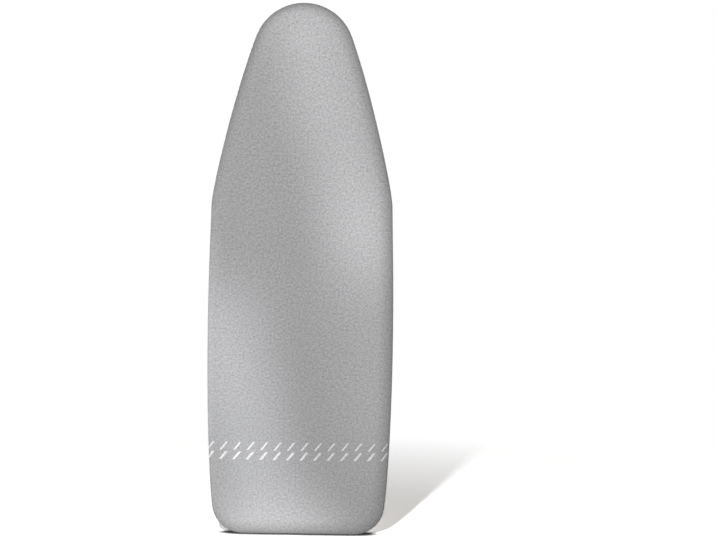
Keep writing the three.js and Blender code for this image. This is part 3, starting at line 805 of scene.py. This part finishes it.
def settled_hem(insets, rows):
    """The rows of the hem after a cloth simulation.

    The cloth is longer than its place, so it puffs into gathers. The edge of the skirt and what the binding
    holds stay where they are.
    """
    underside = board_underside()
    hem = loose_hem(insets, rows)
    settling = hem.modifiers.new("settling", "CLOTH")
    for name, value in CLOTH_SETTINGS.items():
        setattr(settling.settings, name, value)
    settling.settings.vertex_group_mass = "held"
    settling.settings.vertex_group_shrink = "snug"
    settling.settings.shrink_min = -SPARE_LENGTH
    settling.settings.effector_weights.gravity = 0
    settling.collision_settings.distance_min = CLOTH
    settling.collision_settings.use_self_collision = False
    settling.point_cache.frame_end = SETTLING_FRAMES
    for number in range(1, SETTLING_FRAMES + 1):
        bpy.context.scene.frame_set(number)
    only(hem)
    bpy.ops.object.modifier_apply(modifier=settling.name)
    bpy.context.scene.frame_set(1)
    points = np.array([vertex.co for vertex in hem.data.vertices]).reshape(len(rows), -1, 3)
    bpy.data.meshes.remove(hem.data)
    bpy.data.meshes.remove(underside.data)
    return [fine.kept_in(np.vstack((row, row[:1]))) for row in points]


def cover_cloth():
    """The cover's cloth, and the outline that it was cut to while it lay flat."""
    rows = padded_face(fine, 0)
    flats = [row[:, [0, 2]] for row in rows]
    over, under = cloth_section()
    reach = roll_inset
    last = (roll_inset, face_level)
    for place in over + under:
        rows.append(fine.hem_ring(*place) if place in under else fine.ring(*place))
        reach -= math.dist(place, last)
        flats.append(fine.flat(reach))
        last = place
    hem = len(rows) - len(under) - 1
    insets = [inset for inset, level in over[-1:] + under]
    rows[hem:] = settled_hem(insets, rows[hem:])
    piece = soft_piece("cover_cloth", rows, cotton, flat=flats)
    add_thickness(piece, CLOTH)
    return piece, flats[-1]


def foam_padding():
    rows = padded_face(coarse, pad_depth)
    back_angle = roll_angle(pad_depth, foam_back)
    for angle in np.linspace(0, back_angle, ROLL_STEPS + 1)[1:]:
        rows.append(coarse.ring(*roll_place(pad_depth, angle)))
    edge = roll_place(pad_depth, back_angle)[0]
    for share in np.linspace(1, 0, PANEL_STEPS + 1)[1:]:
        rows.append(coarse.panel_ring(share, edge, foam_back))
    return soft_piece("foam_padding", rows, foam)


def felt_padding():
    angles = np.linspace(roll_angle(pad_depth, felt_front), roll_angle(pad_depth, 0), ROLL_STEPS // 2)
    sides = [roll_place(pad_depth, angle) for angle in angles]
    outwards = np.linspace(0, 1, PANEL_STEPS + 1)
    rows = [coarse.panel_ring(share, sides[0][0], felt_front) for share in outwards]
    rows += [coarse.ring(*place) for place in sides[1:]]
    rows += [coarse.panel_ring(share, sides[-1][0], 0) for share in outwards[-2::-1]]
    return soft_piece("felt_padding", rows, felt)


# Binding and elastic of the hem

def folded_tape(depth):
    """One face of the binding, from its mouth on the outer side round the fold to the inner side."""
    half = (binding_high - binding_low) / 2 - depth
    fold = binding_end - depth - half
    places = [(inset, hem_level + half) for inset in np.linspace(binding_mouth, fold, TAPE_POINTS)]
    for angle in np.linspace(math.pi / 2, -math.pi / 2, FOLD_POINTS)[1:-1]:
        places.append((fold + half * math.cos(angle), hem_level + half * math.sin(angle)))
    return places + [(inset, hem_level - half) for inset in np.linspace(fold, binding_mouth, TAPE_POINTS)]


def hem_band(name, places, across, finish):
    """A closed band round the hem through inset and level pairs, each with its reach across the flat map."""
    rows = [fine.hem_ring(*place) for place in places]
    flats = [np.column_stack((fine.travel, np.full(fine.count, reach))) for reach in across]
    return soft_piece(name, rows, finish, closed=True, flat=flats)


def hem_binding():
    places = folded_tape(0) + folded_tape(TAPE)[::-1]
    return hem_band("hem_tape", places, distances(places), tape)


def hem_elastic():
    near = hem_edge + LAY_GAP
    far = near + ELASTIC_WIDTH
    high = hem_level + ELASTIC_THICKNESS / 2
    low = hem_level - ELASTIC_THICKNESS / 2
    places = [(near, high), (far, high), (far, low), (near, low)]
    return hem_band("hem_elastic_band", places, [inset for inset, level in places], elastic)


# Stitching

def one_stitch():
    """A short round thread along X that arches out of the cloth and dips back in at both ends."""
    bpy.ops.object.select_all(action="DESELECT")
    bpy.ops.mesh.primitive_uv_sphere_add(
        segments=6, ring_count=5, rotation=(0, math.pi / 2, 0),
        scale=(THREAD_RADIUS, THREAD_RADIUS, STITCH_LENGTH / 2))
    bpy.ops.object.transform_apply()
    model = bpy.context.object
    points = np.array([vertex.co for vertex in model.data.vertices])
    points[:, 2] += STITCH_ARCH * (1 - 2 * (points[:, 0] / (STITCH_LENGTH / 2)) ** 2)
    faces = [tuple(face.vertices) for face in model.data.polygons]
    bpy.data.meshes.remove(model.data)
    return points, faces


def stitches(name, lines):
    """Copies of one stitch along lines of points on a flat underside, in a single piece."""
    model, model_faces = one_stitch()
    points, faces = [], []
    for line in lines:
        line = np.asarray(line)
        travel = distances(line)
        count = int(travel[-1] / STITCH_PITCH)
        for middle in (np.arange(count) + 0.5) * travel[-1] / count:
            start, end = [
                np.array([np.interp(middle + step, travel, line[:, i]) for i in range(3)])
                for step in (-STITCH_LENGTH / 2, STITCH_LENGTH / 2)
            ]
            along = (end - start) / np.linalg.norm(end - start)
            aside = np.cross((0, 1, 0), along)
            aside /= np.linalg.norm(aside)
            first = len(points) * len(model)
            points.append((start + end) / 2 + model @ np.array((along, aside, np.cross(along, aside))))
            faces += [tuple(first + corner for corner in face) for face in model_faces]
    return mesh_piece(name, np.vstack(points), faces, thread)


def hem_stitches():
    return stitches("hem_stitches", [fine.hem_ring(binding_mouth + SEAM_MARGIN, binding_high)])


# Straps

def strap_path(reach):
    """The middle of the band's thickness in X and Y: lap, left loop, across, right loop and the return."""
    half = STRAP_THICKNESS / 2
    loop = BAR_EYE + half
    flat = reach - BAR_EYE_END - STRAP_SPLAY
    bar = reach + BAR_EYE_END
    round_bar = np.linspace(math.pi / 2, 1.5 * math.pi, LOOP_POINTS)
    left = [(-bar + loop * math.cos(a), hem_level + loop * math.sin(a)) for a in round_bar]
    right = [(bar - loop * math.cos(a), hem_level - loop * math.sin(a)) for a in round_bar]
    lap = [(x, hem_level + half) for x in np.linspace(SEWN_LAP - reach, -flat, LAP_POINTS)]
    across = [(x, hem_level - half) for x in np.linspace(-flat, flat, ACROSS_POINTS)]
    back = [(x, hem_level + half) for x in np.linspace(flat, reach - RETURN_LENGTH, RETURN_POINTS)]
    return np.array(lap + left + across + right + back)


def strap_section():
    """The ribbed section as pairs: a share of half the width, and the height over the middle of the band."""
    columns = np.linspace(-1, 1, COLUMNS_PER_RIB * STRAP_RIBS + 1)
    rib = RIB_HEIGHT * np.cos(columns * math.pi * STRAP_RIBS)
    edge = np.clip((1 - abs(columns)) / SELVEDGE_SHARE, SELVEDGE_THINNING, 1)
    half = (STRAP_THICKNESS / 2 - RIB_ROOM) * edge + rib * (edge == 1)
    return list(zip(columns, half)) + list(zip(columns[::-1], -half[::-1]))


def strap(place):
    reach, height = strap_span(place)
    path = strap_path(reach)
    count = len(path)
    along = np.gradient(path, axis=0)
    along /= np.linalg.norm(along, axis=1)[:, None]
    normal = np.column_stack((along[:, 1], -along[:, 0]))
    travel = distances(path)
    rows, flats = [], []
    for share, lift in strap_section():
        across = np.full(count, share * STRAP_WIDTH / 2)
        rows.append(np.column_stack((path + normal * lift, height + across)))
        flats.append(np.column_stack((travel, across)))
    faces = [face[::-1] for face in quads(pairs(len(rows), True), pairs(count, False), count)]
    first_end = [r * count for r in range(len(rows))]
    last_end = [corner + count - 1 for corner in reversed(first_end)]
    faces += [first_end, last_end]
    return mesh_piece(f"strap_webbing_{place}", np.vstack(rows), faces, webbing, np.vstack(flats))


def lap_stitches(place):
    """A sewn box with a cross, which holds the lap at the strap's fixed end."""
    reach, middle = strap_span(place)
    left = STRAP_SPLAY + LAP_START - reach
    right = SEWN_LAP - LAP_MARGIN - reach
    side = STRAP_WIDTH / 2 - LAP_MARGIN
    level = hem_level + STRAP_THICKNESS
    low, high = middle - side, middle + side
    corners = [(left, level, low), (right, level, low), (right, level, high), (left, level, high)]
    runs = [(0, 1), (1, 2), (2, 3), (3, 0), (0, 2), (1, 3)]
    return stitches(f"lap_stitches_{place}", [(corners[a], corners[b]) for a, b in runs])


cloth, cloth_cut = cover_cloth()
padding = foam_padding()
underlay = felt_padding()
binding = hem_binding()
band = hem_elastic()
hem_seam = hem_stitches()
straps = {place: strap(place) for place in PLACES}
laps = {place: lap_stitches(place) for place in PLACES}

lengths = [name for name in nodes if name.startswith("skirt_")]
tapes = [name for name in nodes if name.startswith("binding_")]
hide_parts("face_cloth", *lengths)
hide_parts("foam_pad")
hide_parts("felt_underlay")
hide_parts(*tapes)
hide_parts("hem_elastic")
for place in PLACES:
    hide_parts(f"strap_{place}")
for piece in (cloth, padding, underlay, binding, band, hem_seam, *straps.values(), *laps.values()):
    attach(piece, "cover")


# Clips and sliders

def finish_hardware(name, finish, edge):
    """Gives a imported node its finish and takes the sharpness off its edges."""
    obj = nodes[name]
    obj.data.materials.clear()
    obj.data.materials.append(finish)
    weld = obj.modifiers.new("joined", "WELD")
    weld.merge_threshold = WELD_REACH
    bevel = obj.modifiers.new("soft_edges", "BEVEL")
    bevel.width = edge
    bevel.segments = EDGE_SEGMENTS
    bevel.limit_method = "ANGLE"
    bevel.angle_limit = SHARP_ANGLE
    bevel.use_clamp_overlap = True
    bevel.harden_normals = True


for place in PLACES:
    finish_hardware(f"slider_{place}", nylon, SLIDER_EDGE)
    for side in SIDES:
        end = f"{place}_{side}"
        finish_hardware(f"clip_base_{end}", nickel, PLATE_EDGE)
        finish_hardware(f"clip_lever_{end}", nickel, PLATE_EDGE)
        finish_hardware(f"clip_pin_{end}", nickel, PIN_EDGE)
        finish_hardware(f"clip_grip_{end}", vinyl, GRIP_EDGE)


# Studio

def studio_floor():
    """A pale floor: white to the eye where it is lit, with the shadow kept, a painted shade line along the
    tail, and plain white further off.
    """
    made, tree = new_material("studio_floor")
    where = add(tree, "TexCoord", out="Object")
    away = add(tree, "VectorMath", {0: where}, out="Value", operation="LENGTH")
    fade = add(tree, "MapRange", {"Value": away, "From Min": SHADOW_FADE_START, "From Max": SHADOW_FADE_END})
    shown = [FLOOR_GAIN * c for c in linear("#fffdfb")[:3]]
    # Painted shade: the floor's colour darkens to a dark brown where ambient occlusion finds the tail close
    # by, which draws a dark line where the tail meets the floor
    open_to_sky = add(tree, "AmbientOcclusion", {"Distance": PAINTED_SHADE_REACH}, out="AO")
    painted_contact_shade = add(tree, "MapRange", {
        "Value": open_to_sky, "From Min": 0.48, "From Max": 0.75, "To Min": PAINTED_SHADE_DARKEST, "To Max": 1.0})
    painted_shade_colour = add(tree, "Mix", {
        FACTOR: painted_contact_shade, COLOUR_A: linear("#1c1412"), COLOUR_B: (*shown, 1.0)}, MIXED, data_type="RGBA")
    lit = add(tree, "BsdfDiffuse", {"Color": painted_shade_colour})
    white = add(tree, "Emission", {"Color": linear("#ffffff"), "Strength": 1.0})
    faded = add(tree, "MixShader", {0: fade, 1: lit, 2: white})
    pale = add(tree, "BsdfDiffuse", {"Color": linear("#bab8b6")})
    ray = add(tree, "LightPath").node.outputs
    sent_on = add(tree, "Math", {
        0: ray["Is Glossy Ray"], 1: ray["Is Transmission Ray"]}, operation="MAXIMUM")
    bounced = add(tree, "MixShader", {0: sent_on, 1: pale, 2: white})
    surface = add(tree, "MixShader", {0: ray["Is Camera Ray"], 1: bounced, 2: faded})
    add(tree, "OutputMaterial", {"Surface": surface})
    return made


def studio_world():
    """White to the camera, a faint even light on the cover, and a darker mirror image behind it."""
    made = bpy.data.worlds.new("studio")
    made.use_nodes = True
    tree = made.node_tree
    tree.nodes.clear()
    ray = add(tree, "LightPath").node.outputs
    direction = add(tree, "SeparateXYZ", {"Vector": add(tree, "TexCoord", out="Generated")}, out="Y")
    behind = add(tree, "MapRange", {
        "Value": direction, "From Min": 0.0, "From Max": 0.5, "To Min": 1.0, "To Max": MIRROR_BEHIND})
    mirrored = add(tree, "MapRange", {"Value": ray["Is Glossy Ray"], "To Min": 1.0, "To Max": behind})
    level = add(tree, "MapRange", {"Value": ray["Is Diffuse Ray"], "To Min": mirrored, "To Max": AMBIENT})
    sky = add(tree, "Background", {"Color": linear("#ffffff"), "Strength": level})
    add(tree, "OutputWorld", {"Surface": sky})
    return made


def soft_box(name, place, aim, size, power, lean=0.0, spread=180):
    """A rectangular lamp; a spread below half a turn is a grid on its front, which makes a beam."""
    lamp = bpy.data.lights.new(name, "AREA")
    lamp.shape = "RECTANGLE"
    lamp.size, lamp.size_y = size
    lamp.energy = power
    lamp.spread = math.radians(spread)
    obj = bpy.data.objects.new(name, lamp)
    obj.location = place
    obj.rotation_mode = "QUATERNION"
    facing = (Vector(aim) - Vector(place)).to_track_quat("-Z", "Y")
    obj.rotation_quaternion = facing @ Quaternion((0, 0, 1), lean)
    obj.visible_camera = False
    bpy.context.scene.collection.objects.link(obj)
    return obj


def beam(name, x, z, size, across, power, spread):
    """A gridded lamp straight before a place on the face; across is how far it leans over its length."""
    lean = math.atan2(across, size[1])
    return soft_box(name, (x, -BEAM_DISTANCE, z), (x, 0, z), size, power, lean, spread)


bpy.ops.object.select_all(action="DESELECT")
bpy.ops.mesh.primitive_plane_add(size=FLOOR_SIZE, location=(0, 0, floor_level))
floor = bpy.context.object
floor.name = "floor"
floor.data.materials.append(studio_floor())

key_place = KEY_DISTANCE * Vector((
    math.sin(KEY_TURN) * math.cos(KEY_RISE),
    -math.cos(KEY_TURN) * math.cos(KEY_RISE),
    math.sin(KEY_RISE),
))
soft_box("key_light", key_place, aim=(0, 0, 0), size=(0.15, 0.15), power=109)
cover_lamps = [
    soft_box("left_light", (-1.3, -0.42, -0.2), aim=(-0.2, 0, -0.3), size=(0.5, 0.5), power=1.24, spread=70),
    soft_box("low_light", (-0.06, -0.12, -0.642), aim=(-0.06, 0, -0.642), size=(0.32, 0.03), power=0.135),
    beam("upper_right_beam", x=0.085, z=0.33, size=(0.05, 0.7), across=0.187, power=0.108, spread=20),
    beam("middle_right_beam", x=0.17, z=-0.16, size=(0.05, 0.7), across=0.05, power=0.063, spread=24),
    beam("lower_left_beam", x=-0.14, z=-0.36, size=(0.06, 0.62), across=0.171, power=0.115, spread=22),
    soft_box("back_left_light", (-1.1, 2.2, 0.6), aim=(0, 0, 0), size=(0.8, 0.8), power=39),
    soft_box("back_right_light", (1.1, 2.2, 0.6), aim=(0, 0, 0), size=(0.8, 0.8), power=23),
]
# The key light alone reaches the floor, so that one clean shadow stays there.
lit_cover = bpy.data.collections.new("lit_cover")
for obj in bpy.context.scene.objects:
    if obj.type == "MESH" and obj != floor:
        lit_cover.objects.link(obj)
for lamp in cover_lamps:
    lamp.light_linking.receiver_collection = lit_cover

bpy.context.scene.world = studio_world()
bpy.context.scene.view_settings.view_transform = "Standard"


# Camera, at the photograph's angle

camera = bpy.data.objects.new("camera", bpy.data.cameras.new("camera"))
camera.data.sensor_width = SENSOR_WIDTH
camera.data.lens = SENSOR_WIDTH * CAMERA_DISTANCE / (FRAME_WIDTH * MM_PER_PIXEL * MM)
aim = Vector((AIM_ASIDE, 0, AIM_HEIGHT))
back = Vector((0, -math.cos(CAMERA_ELEVATION), math.sin(CAMERA_ELEVATION)))
camera.location = aim + back * CAMERA_DISTANCE
camera.rotation_mode = "QUATERNION"
camera.rotation_quaternion = (-back).to_track_quat("-Z", "Y") @ Quaternion((0, 0, 1), CAMERA_ROLL)
bpy.context.scene.collection.objects.link(camera)
bpy.context.scene.camera = camera
